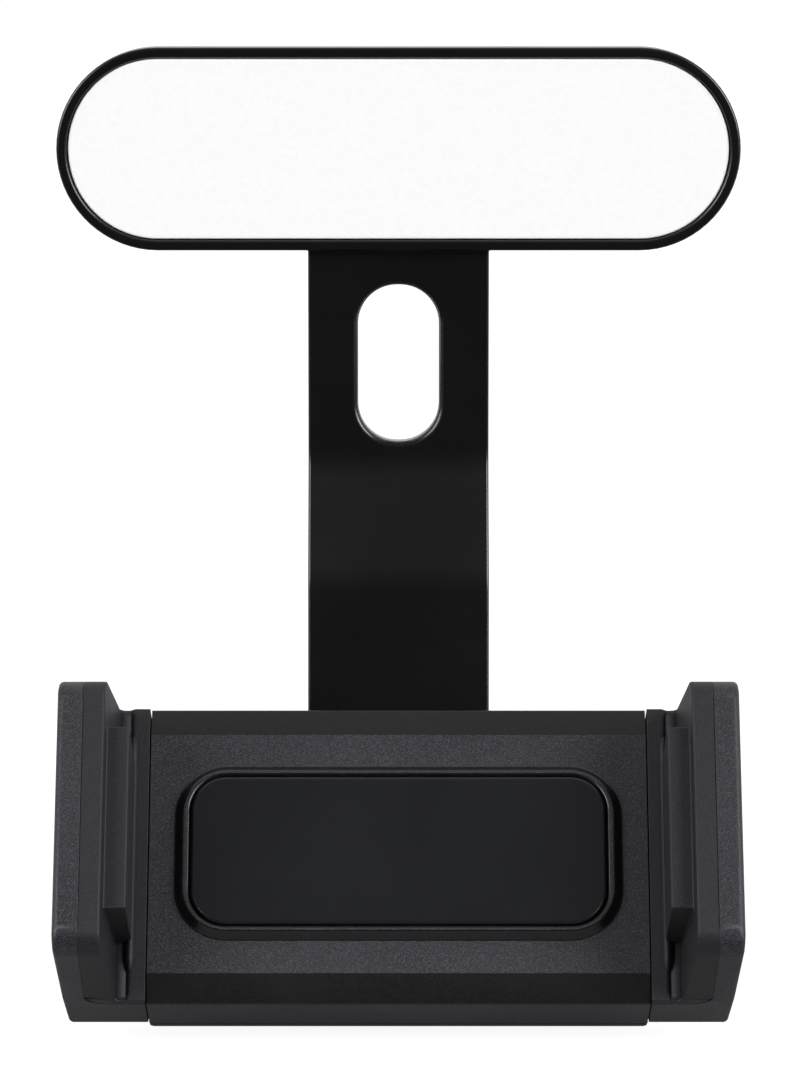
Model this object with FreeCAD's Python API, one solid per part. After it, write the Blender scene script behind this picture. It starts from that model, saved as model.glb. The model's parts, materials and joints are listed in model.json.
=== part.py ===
import FreeCAD, Part
import math
import os

V = FreeCAD.Vector

# Sign tray, in mm
SIGN_WIDTH = 74.6
SIGN_HEIGHT = 22.1
SIGN_DEPTH = 4.2
RIM_WALL = 1.15
RECESS_DEPTH = 1.8
INSERT_THICK = 1.5
INSERT_GAP = 0.1

# Strip below the sign
STRIP_WIDTH = 19.85
STRIP_THICK = 2.6
SLOT_WIDTH = 8.85
SLOT_LENGTH = 17.3
SLOT_DROP = 23.6
SLOT_FLARE = 0.35
KICK_TOP = 34.6
KICK_BOTTOM = 46.6
KICK_FORWARD = 4.5586
KICK_RADIUS = 9.0
LOWER_TILT = 6.0
STUD_DROP = 81.4
STRIP_END = 9.2

# Vent clip behind the sign
CLIP_BASE_RADIUS = 8.0
CLIP_BASE_THICK = 3.5
BOOT_FLOOR = 1.5
BOOT_LENGTH = 15.0
BOOT_WIDTH = 13.4
BOOT_HEIGHT = 12.6
BOOT_CORNER = 3.0
WIDE_SLOT = 3.0
NARROW_SLOT = 2.0
BOOT_WALL = 1.1
PRONG_LENGTH = 12.5
PRONG_GAP = 0.04
LEAD_IN = 1.1
GRIP_RIBS = 3
GRIP_RIB = 0.3

# Ball joint
BALL_RADIUS = 5.5
BALL_GAP = 0.08
BALL_FLAT = 3.4
NECK_RADIUS = 2.6
FLANGE_RADIUS = 7.0
FLANGE_THICK = 2.0
BALL_STAND = 11.2
BALL_SETBACK = 18.2
COLLET_RADIUS = 7.6
COLLET_MOUTH = 2.5
COLLET_SLOT = 0.9
COLLAR_GAP = 0.08
COLLAR_RADIUS = 10.0
COLLAR_LENGTH = 8.8
COLLAR_MOUTH = 5.9
COLLAR_FLUTES = 14
FLUTE_RADIUS = 1.3

# Clamp body
CLAMP_TILT = 30.0
BODY_WIDTH = 52.0
FACE_HEIGHT = 26.1
BEVEL_RISE = 3.1
BEVEL_DEPTH = 0.85
FRONT_DEPTH = 7.8
BODY_DEPTH = 13.2
REAR_TAPER = 1.3
WALL = 1.75
PLINTH_WIDTH = 46.8
PLINTH_HEIGHT = 19.3
PLINTH_CORNER = 5.6
PLINTH_RISE = 1.0
PLINTH_SLOPE = 0.9
PAD_WIDTH = 43.15
PAD_HEIGHT = 16.1
PAD_CORNER = 3.7
PAD_GAP = 0.22
PAD_SINK = 0.85
PAD_PROUD = 0.12
PAD_EDGE = 0.25

# Jaws
JAW_GAP = 0.3
JAW_REACH = 9.0
JAW_DRAFT = 0.55
JAW_FOOT_HALF = 16.0
LIP_HEIGHT = 13.8
LIP_HALF = 14.5
LIP_ROUND = 2.9
LIP_EDGE = 0.7
JAW_BACK = 11.2
JAW_BACK_RUN = 2.7
JAW_WALL = 1.7
SEAM_REACH = 6.35
SEAM_DEPTH = 1.3
SEAM_CORNER = 2.2
LINER_CORNER = 2.6
LINER_DROP = 0.12
LINER_REACH = 4.1
LINER_FOOT_REACH = 3.3
CUSHION_REACH = 1.6
CUSHION_HALF = 9.75
CUSHION_DROP = 2.1
CUSHION_ROUND = 0.9

# Slide bars and drive
BAR_OUTER = 9.6
BAR_INSET = 9.0
BAR_THICK = 3.0
BAR_GAP = 0.25
MODULE = 0.7
TEETH = 12
PRESSURE = 25.0
ADDENDUM = 0.6
DEDENDUM = 0.78
BACKLASH = 0.12
PIN_RADIUS = 1.2
PIN_GAP = 0.04
PINION_BORE_GAP = 0.06
PIN_BOSS = 2.9

# Springs and fasteners
SPRING_LINE = 7.0
SPRING_RADIUS = 1.55
SPRING_WIRE = 0.55
SPRING_TURNS = 6
SPRING_SIDES = 6
SPRING_LEVEL = 4.7
POST_RADIUS = 0.95
POST_INSET = 5.1
LUG_BACK = 9.0
SCREW_INSET = 4.4
SCREW_V = 12.3
SCREW_RADIUS = 0.85
SCREW_HEAD = 1.75
SCREW_HEAD_THICK = 1.2
SCREW_GAP = 0.03
BOSS_RADIUS = 1.95
LONG_SCREW_RADIUS = 1.25
LONG_HEAD_RADIUS = 2.4
LONG_HEAD_THICK = 1.0
LONG_SCREW_GAP = 0.05

# Derived places
TRAY_BACK = -(BOOT_FLOOR + CLIP_BASE_THICK)
SIGN_FRONT = TRAY_BACK - SIGN_DEPTH
TRAY_FLOOR = SIGN_FRONT + RECESS_DEPTH
STRIP_FRONT = TRAY_BACK - STRIP_THICK
BODY_HALF = FACE_HEIGHT / 2 + BEVEL_RISE
HALF_WIDTH = BODY_WIDTH / 2
JAW_IN = HALF_WIDTH + JAW_GAP
JAW_OUT = HALF_WIDTH + JAW_REACH
SEAM_OUT = HALF_WIDTH + SEAM_REACH
LINER_IN = HALF_WIDTH + LINER_REACH
LINER_FOOT = HALF_WIDTH + LINER_FOOT_REACH
CUSHION_IN = HALF_WIDTH + CUSHION_REACH
BAR_REACH = HALF_WIDTH - BAR_INSET
POST_REACH = HALF_WIDTH - POST_INSET
SCREW_U = HALF_WIDTH - SCREW_INSET
PITCH_RADIUS = MODULE * TEETH / 2
TOOTH_PITCH = math.pi * MODULE
BAR_INNER = PITCH_RADIUS + DEDENDUM
BAR_FRONT = -(FRONT_DEPTH + BAR_GAP)
BAR_BACK = BAR_FRONT - BAR_THICK
TRAY_INSIDE = BAR_BACK - BAR_GAP
TOP_INSIDE = BODY_HALF - WALL
END_INSIDE = HALF_WIDTH - WALL


def at(u, v, w):
    """Point of the untilted clamp: u to the right, v up its face, w out of its face."""
    return V(u, -w, v)


def sharp(point):
    """Corner of an outline with no rounding."""
    return (point[0], point[1], 0.0)


def outline(corners, to_space):
    """Closed wire through corners (a, b, radius), each rounded by a tangent arc of its radius."""
    edges = []
    ends = []
    count = len(corners)
    for i in range(count):
        a, b, radius = corners[i]
        before = corners[i - 1]
        after = corners[(i + 1) % count]
        if radius <= 0:
            ends.append(((a, b), None, (a, b)))
            continue
        d0 = math.hypot(before[0] - a, before[1] - b)
        d1 = math.hypot(after[0] - a, after[1] - b)
        e0 = ((before[0] - a) / d0, (before[1] - b) / d0)
        e1 = ((after[0] - a) / d1, (after[1] - b) / d1)
        half = math.acos(max(-1.0, min(1.0, e0[0] * e1[0] + e0[1] * e1[1]))) / 2
        reach = radius / math.tan(half)
        mid = (e0[0] + e1[0], e0[1] + e1[1])
        size = math.hypot(mid[0], mid[1])
        far = radius / math.sin(half) - radius
        start = (a + e0[0] * reach, b + e0[1] * reach)
        stop = (a + e1[0] * reach, b + e1[1] * reach)
        top = (a + mid[0] / size * far, b + mid[1] / size * far)
        ends.append((start, top, stop))
    for i in range(count):
        start, top, stop = ends[i]
        if top is not None:
            edges.append(Part.Arc(to_space(*start), to_space(*top), to_space(*stop)).toShape())
        after = ends[(i + 1) % count][0]
        if math.hypot(stop[0] - after[0], stop[1] - after[1]) > 1e-6:
            edges.append(Part.makeLine(to_space(*stop), to_space(*after)))
    return Part.Wire(edges)


def rounded_box(half_a, half_b, radius):
    """Corners of a rectangle of half sizes about the origin."""
    r = min(radius, half_a - 0.01, half_b - 0.01)
    return [(half_a, half_b, r), (-half_a, half_b, r), (-half_a, -half_b, r), (half_a, -half_b, r)]


def prism(corners, to_space, step):
    """Solid of an outline pushed along a step."""
    return Part.Face(outline(corners, to_space)).extrude(step)


def along_v(corners, v0, v1):
    """Prism of a (u, w) outline between two heights."""
    return prism(corners, lambda a, b: at(a, v0, b), at(0, v1 - v0, 0))


def along_u(corners, u0, u1):
    """Prism of a (v, w) outline between two sides."""
    return prism(corners, lambda a, b: at(u0, a, b), at(u1 - u0, 0, 0))


def along_w(corners, w0, w1):
    """Prism of a (u, v) outline between two depths."""
    return prism(corners, lambda a, b: at(a, b, w0), at(0, 0, w1 - w0))


def block(u0, u1, v0, v1, w0, w1):
    """Box of the clamp's frame."""
    return Part.makeBox(u1 - u0, w1 - w0, v1 - v0, at(u0, v0, w1))


def rod(radius, u, v, w0, w1):
    """Round rod along w."""
    return Part.makeCylinder(radius, abs(w1 - w0), at(u, v, w0), at(0, 0, 1 if w1 > w0 else -1))


def ring_profile(points):
    """Solid of a (radius, w) outline turned about the clamp's axis."""
    face = Part.Face(outline([sharp(p) for p in points], lambda a, b: at(a, 0, b)))
    return face.revolve(V(0, 0, 0), V(0, 1, 0), 360)


def fused(shapes):
    """One solid from overlapping shapes."""
    return shapes[0].fuse(shapes[1:]).removeSplitter()


def mirrored_half(points):
    """Symmetric (v, w) outline from its upper half, listed front to back."""
    return list(points) + [(-p[0], p[1], p[2]) for p in reversed(points)]


def bend_lines():
    """Front and back lines of the strip as (y, z) corners with bend radii, from the top down."""
    top = -(SIGN_HEIGHT / 2 - RIM_WALL * 0.7)
    end = -(STUD_DROP + STRIP_END + 2.0)
    tilt = math.tan(math.radians(LOWER_TILT))
    front = [
        (STRIP_FRONT, top),
        (STRIP_FRONT, -KICK_TOP),
        (STRIP_FRONT - KICK_FORWARD, -KICK_BOTTOM),
        (STRIP_FRONT - KICK_FORWARD + (end + KICK_BOTTOM) * tilt, end),
    ]
    normals = []
    for i in range(3):
        dy = front[i + 1][0] - front[i][0]
        dz = front[i + 1][1] - front[i][1]
        size = math.hypot(dy, dz)
        normals.append((-dz / size, dy / size))
    back = [(front[0][0] + STRIP_THICK, front[0][1])]
    for i in (1, 2):
        n0 = normals[i - 1]
        n1 = normals[i]
        share = 1 + n0[0] * n1[0] + n0[1] * n1[1]
        back.append((front[i][0] + (n0[0] + n1[0]) / share * STRIP_THICK,
                     front[i][1] + (n0[1] + n1[1]) / share * STRIP_THICK))
    back.append((front[3][0] + normals[2][0] * STRIP_THICK, front[3][1] + normals[2][1] * STRIP_THICK))
    outer = KICK_RADIUS + STRIP_THICK
    front_r = (0.0, KICK_RADIUS, outer, 0.0)
    back_r = (0.0, outer, KICK_RADIUS, 0.0)
    down = [(p[0], p[1], r) for p, r in zip(front, front_r)]
    up = [(p[0], p[1], r) for p, r in zip(back, back_r)]
    return down + list(reversed(up))


def stud_point():
    """Point of the strip's front face where the ball stud stands."""
    tilt = math.tan(math.radians(LOWER_TILT))
    return V(0, STRIP_FRONT - KICK_FORWARD + (KICK_BOTTOM - STUD_DROP) * tilt, -STUD_DROP)


def ball_point():
    """Centre of the ball."""
    a = math.radians(LOWER_TILT)
    return stud_point() + V(0, -math.cos(a), math.sin(a)) * BALL_STAND


def clamp_point():
    """Centre of the clamp's front face."""
    a = math.radians(CLAMP_TILT)
    return ball_point() + V(0, -math.cos(a), math.sin(a)) * BALL_SETBACK


def clamp_placed(shape):
    """Clamp shape tilted and brought to its place."""
    shape = shape.copy()
    shape.rotate(V(0, 0, 0), V(1, 0, 0), -CLAMP_TILT)
    shape.translate(clamp_point())
    return shape


def stud_placed(shape):
    """Shape built along -Y from the strip's front, brought to the stud's place."""
    shape = shape.copy()
    shape.rotate(V(0, 0, 0), V(1, 0, 0), -LOWER_TILT)
    shape.translate(stud_point())
    return shape


def plate(width, height, y0, y1, inset=0.0):
    """Pill-shaped plate of the sign between two depths."""
    half_h = height / 2 - inset
    corners = rounded_box(width / 2 - inset, half_h, half_h - 0.005)
    return prism(corners, lambda a, b: V(a, y0, b), V(0, y1 - y0, 0))


def y_rod(radius, y0, y1, x=0.0, z=0.0):
    """Round rod along the depth."""
    return Part.makeCylinder(radius, y1 - y0, V(x, y0, z), V(0, 1, 0))


def sign_bracket():
    """Tray and strip in one moulding."""
    tray = plate(SIGN_WIDTH, SIGN_HEIGHT, SIGN_FRONT, TRAY_BACK)
    strip = prism(bend_lines(), lambda a, b: V(-STRIP_WIDTH / 2, a, b), V(STRIP_WIDTH, 0, 0))
    half = STRIP_WIDTH / 2
    low = -(STUD_DROP + STRIP_END)
    trim = [(half, 0.0, 0.0), (-half, 0.0, 0.0), (-half, low, STRIP_END - 0.2), (half, low, STRIP_END - 0.2)]
    strip = strip.common(prism(trim, lambda a, b: V(a, -STUD_DROP, b), V(0, 2 * STUD_DROP, 0)))
    body = fused([tray, strip])
    body = body.cut(plate(SIGN_WIDTH, SIGN_HEIGHT, SIGN_FRONT - 1, TRAY_FLOOR, RIM_WALL))
    slot = rounded_box(SLOT_WIDTH / 2, SLOT_LENGTH / 2, SLOT_WIDTH / 2 * 0.96)
    flare = rounded_box(SLOT_WIDTH / 2 + SLOT_FLARE, SLOT_LENGTH / 2 + SLOT_FLARE, SLOT_WIDTH / 2)
    rows = []
    for y, corners in ((STRIP_FRONT - 0.001, flare), (STRIP_FRONT + SLOT_FLARE, slot)):
        rows.append(outline(corners, lambda a, b: V(a, y, b - SLOT_DROP)))
    body = body.cut(prism(slot, lambda a, b: V(a, STRIP_FRONT - 1, b - SLOT_DROP), V(0, STRIP_THICK + 2, 0)))
    body = body.cut(Part.makeLoft(rows, True, True))
    body = body.cut(y_rod(LONG_HEAD_RADIUS + 0.2, TRAY_FLOOR - 0.5, TRAY_FLOOR + LONG_HEAD_THICK + 0.15))
    body = body.cut(y_rod(LONG_SCREW_RADIUS + LONG_SCREW_GAP, TRAY_FLOOR, TRAY_BACK + 1))
    seat = STRIP_THICK - LONG_HEAD_THICK - 0.15
    body = body.cut(stud_placed(y_rod(LONG_SCREW_RADIUS + LONG_SCREW_GAP, -1, STRIP_THICK + 1)))
    return body.cut(stud_placed(y_rod(LONG_HEAD_RADIUS + 0.2, seat, STRIP_THICK + 2)))


def sign_insert():
    """White panel that lies in the tray."""
    return plate(SIGN_WIDTH, SIGN_HEIGHT, TRAY_FLOOR - INSERT_THICK, TRAY_FLOOR, RIM_WALL + INSERT_GAP)


def long_screw(head_y, length):
    """Screw along +Y: its head starts at head_y, with a cross slot in it."""
    head = y_rod(LONG_HEAD_RADIUS, head_y, head_y + LONG_HEAD_THICK)
    shank = y_rod(LONG_SCREW_RADIUS, head_y + LONG_HEAD_THICK - 0.1, head_y + LONG_HEAD_THICK + length)
    for size in ((1.3, 0.25), (0.25, 1.3)):
        slot = Part.makeBox(2 * size[0], LONG_HEAD_THICK * 0.5, 2 * size[1])
        slot.translate(V(-size[0], head_y - 0.001, -size[1]))
        head = head.cut(slot)
    return fused([head, shank])


def clip_screw():
    """Screw from the tray's floor into the clip."""
    return long_screw(TRAY_FLOOR + 0.15, -BOOT_FLOOR - 0.4 - TRAY_FLOOR - LONG_HEAD_THICK - 0.15)


def lobe_box(inset, y0, y1, corner):
    """One lobe of the boot, in the quarter of positive x and z, pulled in by an inset."""
    x0 = WIDE_SLOT / 2 + inset
    z0 = NARROW_SLOT / 2 + inset
    x1 = BOOT_WIDTH / 2 - inset
    z1 = BOOT_HEIGHT / 2 - inset
    small = 0.3
    corners = [(x0, z0, small), (x1, z0, small), (x1, z1, max(corner - inset, small)), (x0, z1, small)]
    return prism(corners, lambda a, b: V(a, y0, b), V(0, y1 - y0, 0))


def four_quarters(shape):
    """Shape of one quarter mirrored to all four."""
    across = shape.mirror(V(0, 0, 0), V(1, 0, 0))
    pair = [shape, across]
    return pair + [s.mirror(V(0, 0, 0), V(0, 0, 1)) for s in pair]


def clip_core():
    """Round base with four prongs."""
    base = y_rod(CLIP_BASE_RADIUS, TRAY_BACK, -BOOT_FLOOR)
    prong = lobe_box(BOOT_WALL, -BOOT_FLOOR - 0.5, PRONG_LENGTH, BOOT_CORNER)
    core = fused([base] + four_quarters(prong))
    return core.cut(y_rod(LONG_SCREW_RADIUS + LONG_SCREW_GAP, TRAY_BACK - 1, -BOOT_FLOOR - 0.3))


def clip_boot():
    """Rubber boot: a floor and four hollow lobes with ribs on their blade faces."""
    lobe = lobe_box(0.0, -BOOT_FLOOR * 0.5, BOOT_LENGTH, BOOT_CORNER)
    tip = BOOT_LENGTH - LEAD_IN
    wedge = [(NARROW_SLOT / 2 - 0.01, tip - LEAD_IN * 0.6, 0.0),
             (NARROW_SLOT / 2 + LEAD_IN, BOOT_LENGTH + 0.01, 0.0),
             (NARROW_SLOT / 2 - 0.01, BOOT_LENGTH + 0.01, 0.0)]
    lobe = lobe.cut(prism(wedge, lambda a, b: V(0, b, a), V(BOOT_WIDTH, 0, 0)))
    wedge = [(WIDE_SLOT / 2 - 0.01, tip - LEAD_IN * 0.6, 0.0),
             (WIDE_SLOT / 2 + LEAD_IN, BOOT_LENGTH + 0.01, 0.0),
             (WIDE_SLOT / 2 - 0.01, BOOT_LENGTH + 0.01, 0.0)]
    lobe = lobe.cut(prism(wedge, lambda a, b: V(a, b, 0), V(0, 0, BOOT_HEIGHT)))
    ribs = []
    x0 = WIDE_SLOT / 2 + 0.4
    x1 = BOOT_WIDTH / 2 - 0.5
    for i in range(GRIP_RIBS):
        y = BOOT_LENGTH * (0.22 + 0.21 * i)
        low = NARROW_SLOT / 2
        ridge = [(low + 0.2, y - GRIP_RIB, 0.0), (low - GRIP_RIB, y, 0.0), (low + 0.2, y + GRIP_RIB, 0.0)]
        ribs.append(prism(ridge, lambda a, b: V(x0, b, a), V(x1 - x0, 0, 0)))
    lobe = fused([lobe] + ribs)
    corners = rounded_box(BOOT_WIDTH / 2, BOOT_HEIGHT / 2, BOOT_CORNER)
    floor = prism(corners, lambda a, b: V(a, -BOOT_FLOOR, b), V(0, BOOT_FLOOR, 0))
    boot = fused([floor] + four_quarters(lobe))
    room = lobe_box(BOOT_WALL - PRONG_GAP, -BOOT_FLOOR - 1, PRONG_LENGTH + PRONG_GAP, BOOT_CORNER)
    for pocket in four_quarters(room):
        boot = boot.cut(pocket)
    return boot


def ball_stud():
    """Flange, neck and ball, with a blind hole for its screw."""
    flange = y_rod(FLANGE_RADIUS, -FLANGE_THICK, 0.0)
    neck = y_rod(NECK_RADIUS, -BALL_STAND, 0.0)
    ball = Part.makeSphere(BALL_RADIUS, V(0, -BALL_STAND, 0), V(0, 1, 0))
    ball = ball.cut(y_rod(BALL_RADIUS, -BALL_STAND - BALL_RADIUS - 1, -BALL_STAND - BALL_FLAT))
    foot = Part.makeCone(NECK_RADIUS + 1.1, NECK_RADIUS, 1.3, V(0, -FLANGE_THICK, 0), V(0, -1, 0))
    stud = fused([flange, neck, ball, foot])
    stud = stud.cut(y_rod(LONG_SCREW_RADIUS + LONG_SCREW_GAP, -BALL_STAND * 0.75, 1))
    return stud_placed(stud)


def stud_screw():
    """Screw from the strip's back into the stud."""
    length = STRIP_THICK + BALL_STAND * 0.6 - LONG_HEAD_THICK
    screw = long_screw(0.0, length)
    screw.rotate(V(0, 0, 0), V(0, 0, 1), 180)
    screw.translate(V(0, STRIP_THICK - 0.1, 0))
    return stud_placed(screw)


def collar_nut():
    """Fluted nut round the collet, with a cone that closes on its tip."""
    start = -BODY_DEPTH - 0.3
    stop = start - COLLAR_LENGTH
    tip = -BALL_SETBACK - COLLET_MOUTH
    inner = COLLET_RADIUS + COLLAR_GAP
    cone = tip + 1.8
    points = [(inner, start), (COLLAR_RADIUS, start), (COLLAR_RADIUS, stop), (COLLAR_MOUTH, stop),
              (COLLAR_MOUTH, tip - 0.15), (inner - 1.1, tip - 0.15), (inner, cone - 0.15)]
    nut = ring_profile(points)
    cuts = []
    for i in range(COLLAR_FLUTES):
        a = 2 * math.pi * i / COLLAR_FLUTES
        far = COLLAR_RADIUS + FLUTE_RADIUS * 0.5
        cuts.append(rod(FLUTE_RADIUS, far * math.cos(a), far * math.sin(a), start + 1, stop - 1))
    return clamp_placed(nut.cut(Part.makeCompound(cuts)))


def body_profile(back, taper):
    """Half outline of the clamp body from its face to a depth, as (v, w) corners."""
    return [(FACE_HEIGHT / 2, 0.0, 0.0), (BODY_HALF, -BEVEL_DEPTH, 0.0), (BODY_HALF - taper, back, 0.0)]


def screw_places():
    """Places of the four housing screws."""
    return [(SCREW_U, SCREW_V), (-SCREW_U, SCREW_V), (-SCREW_U, -SCREW_V), (SCREW_U, -SCREW_V)]


def front_housing():
    """Front shell: bevelled face, plinth with a pad pocket, bosses, posts and hold-down ribs."""
    shell = along_u(mirrored_half(body_profile(-FRONT_DEPTH, 0.0)), -HALF_WIDTH, HALF_WIDTH)
    foot = outline(rounded_box(PLINTH_WIDTH / 2, PLINTH_HEIGHT / 2, PLINTH_CORNER), lambda a, b: at(a, b, -0.2))
    wide = PLINTH_WIDTH / 2 - PLINTH_SLOPE
    high = PLINTH_HEIGHT / 2 - PLINTH_SLOPE
    top = outline(rounded_box(wide, high, PLINTH_CORNER - PLINTH_SLOPE), lambda a, b: at(a, b, PLINTH_RISE))
    plinth = Part.makeLoft([foot, top], True, True)
    inside = block(-END_INSIDE, END_INSIDE, -TOP_INSIDE, TOP_INSIDE, -FRONT_DEPTH - 1, -WALL)
    shell = shell.cut(inside)
    parts = [shell, plinth, rod(PIN_BOSS, 0, 0, -WALL + 0.3, -FRONT_DEPTH - 0.05)]
    for u, v in screw_places():
        parts.append(rod(BOSS_RADIUS, u, v, -WALL + 0.3, -FRONT_DEPTH))
    for side in (1, -1):
        parts.append(rod(POST_RADIUS, side * POST_REACH, side * SPRING_LINE, -WALL + 0.3, -FRONT_DEPTH + 1.2))
        low = BAR_OUTER - 0.5
        lean = min(side * low, side * (low + 0.9))
        reach = SCREW_U - BOSS_RADIUS - 1.0
        parts.append(block(-reach, reach, lean, lean + 0.9, -FRONT_DEPTH - 0.05, -WALL + 0.3))
    body = fused(parts)
    pocket = rounded_box(PAD_WIDTH / 2 + PAD_GAP, PAD_HEIGHT / 2 + PAD_GAP, PAD_CORNER + PAD_GAP)
    body = body.cut(along_w(pocket, PLINTH_RISE - PAD_SINK, PLINTH_RISE + 1))
    for u, v in screw_places():
        body = body.cut(rod(SCREW_RADIUS + SCREW_GAP, u, v, -WALL, -FRONT_DEPTH - 1))
    return clamp_placed(body.cut(rod(PIN_RADIUS + PIN_GAP, 0, 0, -WALL, -FRONT_DEPTH - 1)))


def front_pad():
    """Smooth pad with a broken front edge."""
    low = PLINTH_RISE - PAD_SINK
    high = PLINTH_RISE + PAD_PROUD
    corners = rounded_box(PAD_WIDTH / 2, PAD_HEIGHT / 2, PAD_CORNER)
    pad = along_w(corners, low, high)
    rim = [e for e in pad.Edges if abs(e.BoundBox.YMin + high) < 1e-4 and e.BoundBox.YLength < 1e-4]
    return clamp_placed(pad.makeChamfer(PAD_EDGE, rim))


def rear_housing():
    """Rear shell: tray with end notches, screw tubes, guide rails and the slotted ball collet."""
    tray = along_u([(BODY_HALF, -FRONT_DEPTH, 0), (BODY_HALF, -FRONT_DEPTH - 0.8, 0),
                    (BODY_HALF - REAR_TAPER, -BODY_DEPTH, 0), (-BODY_HALF + REAR_TAPER, -BODY_DEPTH, 0),
                    (-BODY_HALF, -FRONT_DEPTH - 0.8, 0), (-BODY_HALF, -FRONT_DEPTH, 0)],
                   -HALF_WIDTH, HALF_WIDTH)
    high = TOP_INSIDE - 0.3
    tray = tray.cut(block(-END_INSIDE, END_INSIDE, -high, high, TRAY_INSIDE, -FRONT_DEPTH + 1))
    parts = [tray, rod(COLLET_RADIUS, 0, 0, -BODY_DEPTH + 0.5, -BALL_SETBACK - COLLET_MOUTH)]
    for u, v in screw_places():
        parts.append(rod(BOSS_RADIUS + 0.25, u, v, TRAY_INSIDE - 0.3, -FRONT_DEPTH))
    for side in (1, -1):
        near = BAR_OUTER + BAR_GAP
        lean = min(side * near, side * (near + 0.8))
        reach = SCREW_U - BOSS_RADIUS - 1.0
        parts.append(block(-reach, reach, lean, lean + 0.8, TRAY_INSIDE - 0.3, -FRONT_DEPTH - 0.5))
    body = fused(parts)
    for side in (1, -1):
        low = min(side * (BAR_INNER - BAR_GAP), side * (BAR_OUTER + BAR_GAP))
        tall = BAR_OUTER - BAR_INNER + 2 * BAR_GAP
        out = -side * HALF_WIDTH
        body = body.cut(block(out - 2.5, out + 2.5, low, low + tall, TRAY_INSIDE, -FRONT_DEPTH + 1))
    centre = at(0, 0, -BALL_SETBACK)
    room = BALL_RADIUS + BALL_GAP
    hollow = Part.makeSphere(room, centre, V(0, 1, 0))
    relief = -BALL_SETBACK + BALL_FLAT + 0.4
    hollow = hollow.cut(rod(room, 0, 0, relief, relief + room))
    body = body.cut(hollow)
    wide = math.sqrt(room ** 2 - (BALL_FLAT + 0.4) ** 2)
    body = body.cut(rod(wide, 0, 0, relief - 0.1, -BALL_SETBACK + room - 0.6))
    tip = -BALL_SETBACK - COLLET_MOUTH
    body = body.cut(ring_profile([(COLLET_RADIUS - 1.1, tip - 0.01), (COLLET_RADIUS + 1, tip - 0.01),
                                  (COLLET_RADIUS + 1, tip + 1.8), (COLLET_RADIUS, tip + 1.8)]))
    half = COLLET_SLOT / 2
    far = COLLET_RADIUS + 1
    body = body.cut(block(-half, half, -far, far, tip - 1, -BODY_DEPTH - 1.2))
    body = body.cut(block(-far, far, -half, half, tip - 1, -BODY_DEPTH - 1.2))
    for u, v in screw_places():
        body = body.cut(rod(SCREW_RADIUS + 0.25, u, v, -FRONT_DEPTH + 1, -BODY_DEPTH - 1))
        body = body.cut(rod(SCREW_HEAD + 0.15, u, v, -BODY_DEPTH + SCREW_HEAD_THICK + 0.3, -BODY_DEPTH - 1))
    return clamp_placed(body)


def housing_screws():
    """Four screws with their heads sunk in the rear shell."""
    screws = []
    for u, v in screw_places():
        seat = -BODY_DEPTH + SCREW_HEAD_THICK + 0.3
        head = rod(SCREW_HEAD, u, v, seat, seat - SCREW_HEAD_THICK)
        screws.append(fused([head, rod(SCREW_RADIUS, u, v, seat - 0.1, -WALL - 1.2)]))
    return clamp_placed(Part.makeCompound(screws))


def pinion_pin():
    """Steel pin that carries the pinion."""
    return clamp_placed(rod(PIN_RADIUS, 0, 0, -WALL - 0.1, BAR_BACK - 0.1))


def involute(angle):
    """Involute function of a pressure angle."""
    return math.tan(angle) - angle


def pinion():
    """Spur gear whose flanks are arcs through three points of the involute, a space at top and bottom."""
    pressure = math.radians(PRESSURE)
    base = PITCH_RADIUS * math.cos(pressure)
    tip = PITCH_RADIUS + ADDENDUM
    root = PITCH_RADIUS - DEDENDUM
    half = math.pi / (2 * TEETH) - BACKLASH / (2 * PITCH_RADIUS)
    start = max(base, root + 0.02)
    level = BAR_BACK + 0.05

    def spot(radius, angle):
        return at(radius * math.cos(angle), radius * math.sin(angle), level)

    def spread(radius):
        return half + involute(pressure) - involute(math.acos(min(1.0, base / radius)))

    middle = (start + tip) / 2

    def flank(first, last, mid, side):
        places = [spot(r, mid + side * spread(r)) for r in (first, middle, last)]
        return Part.Arc(*places).toShape()

    edges = []
    for i in range(TEETH):
        mid = math.pi / 2 + math.pi / TEETH + 2 * math.pi * i / TEETH
        after = mid + 2 * math.pi / TEETH
        edge = spread(start)
        edges.append(Part.makeLine(spot(root, mid - edge), spot(start, mid - edge)))
        edges.append(flank(start, tip, mid, -1))
        edges.append(Part.Arc(spot(tip, mid - spread(tip)), spot(tip, mid), spot(tip, mid + spread(tip))).toShape())
        edges.append(flank(tip, start, mid, 1))
        edges.append(Part.makeLine(spot(start, mid + edge), spot(root, mid + edge)))
        low = (mid + after) / 2
        edges.append(Part.Arc(spot(root, mid + edge), spot(root, low), spot(root, after - edge)).toShape())
    gear = Part.Face(Part.Wire(edges)).extrude(at(0, 0, BAR_THICK - 0.1))
    return clamp_placed(gear.cut(rod(PIN_RADIUS + PINION_BORE_GAP, 0, 0, BAR_BACK - 1, BAR_FRONT + 1)))


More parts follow.
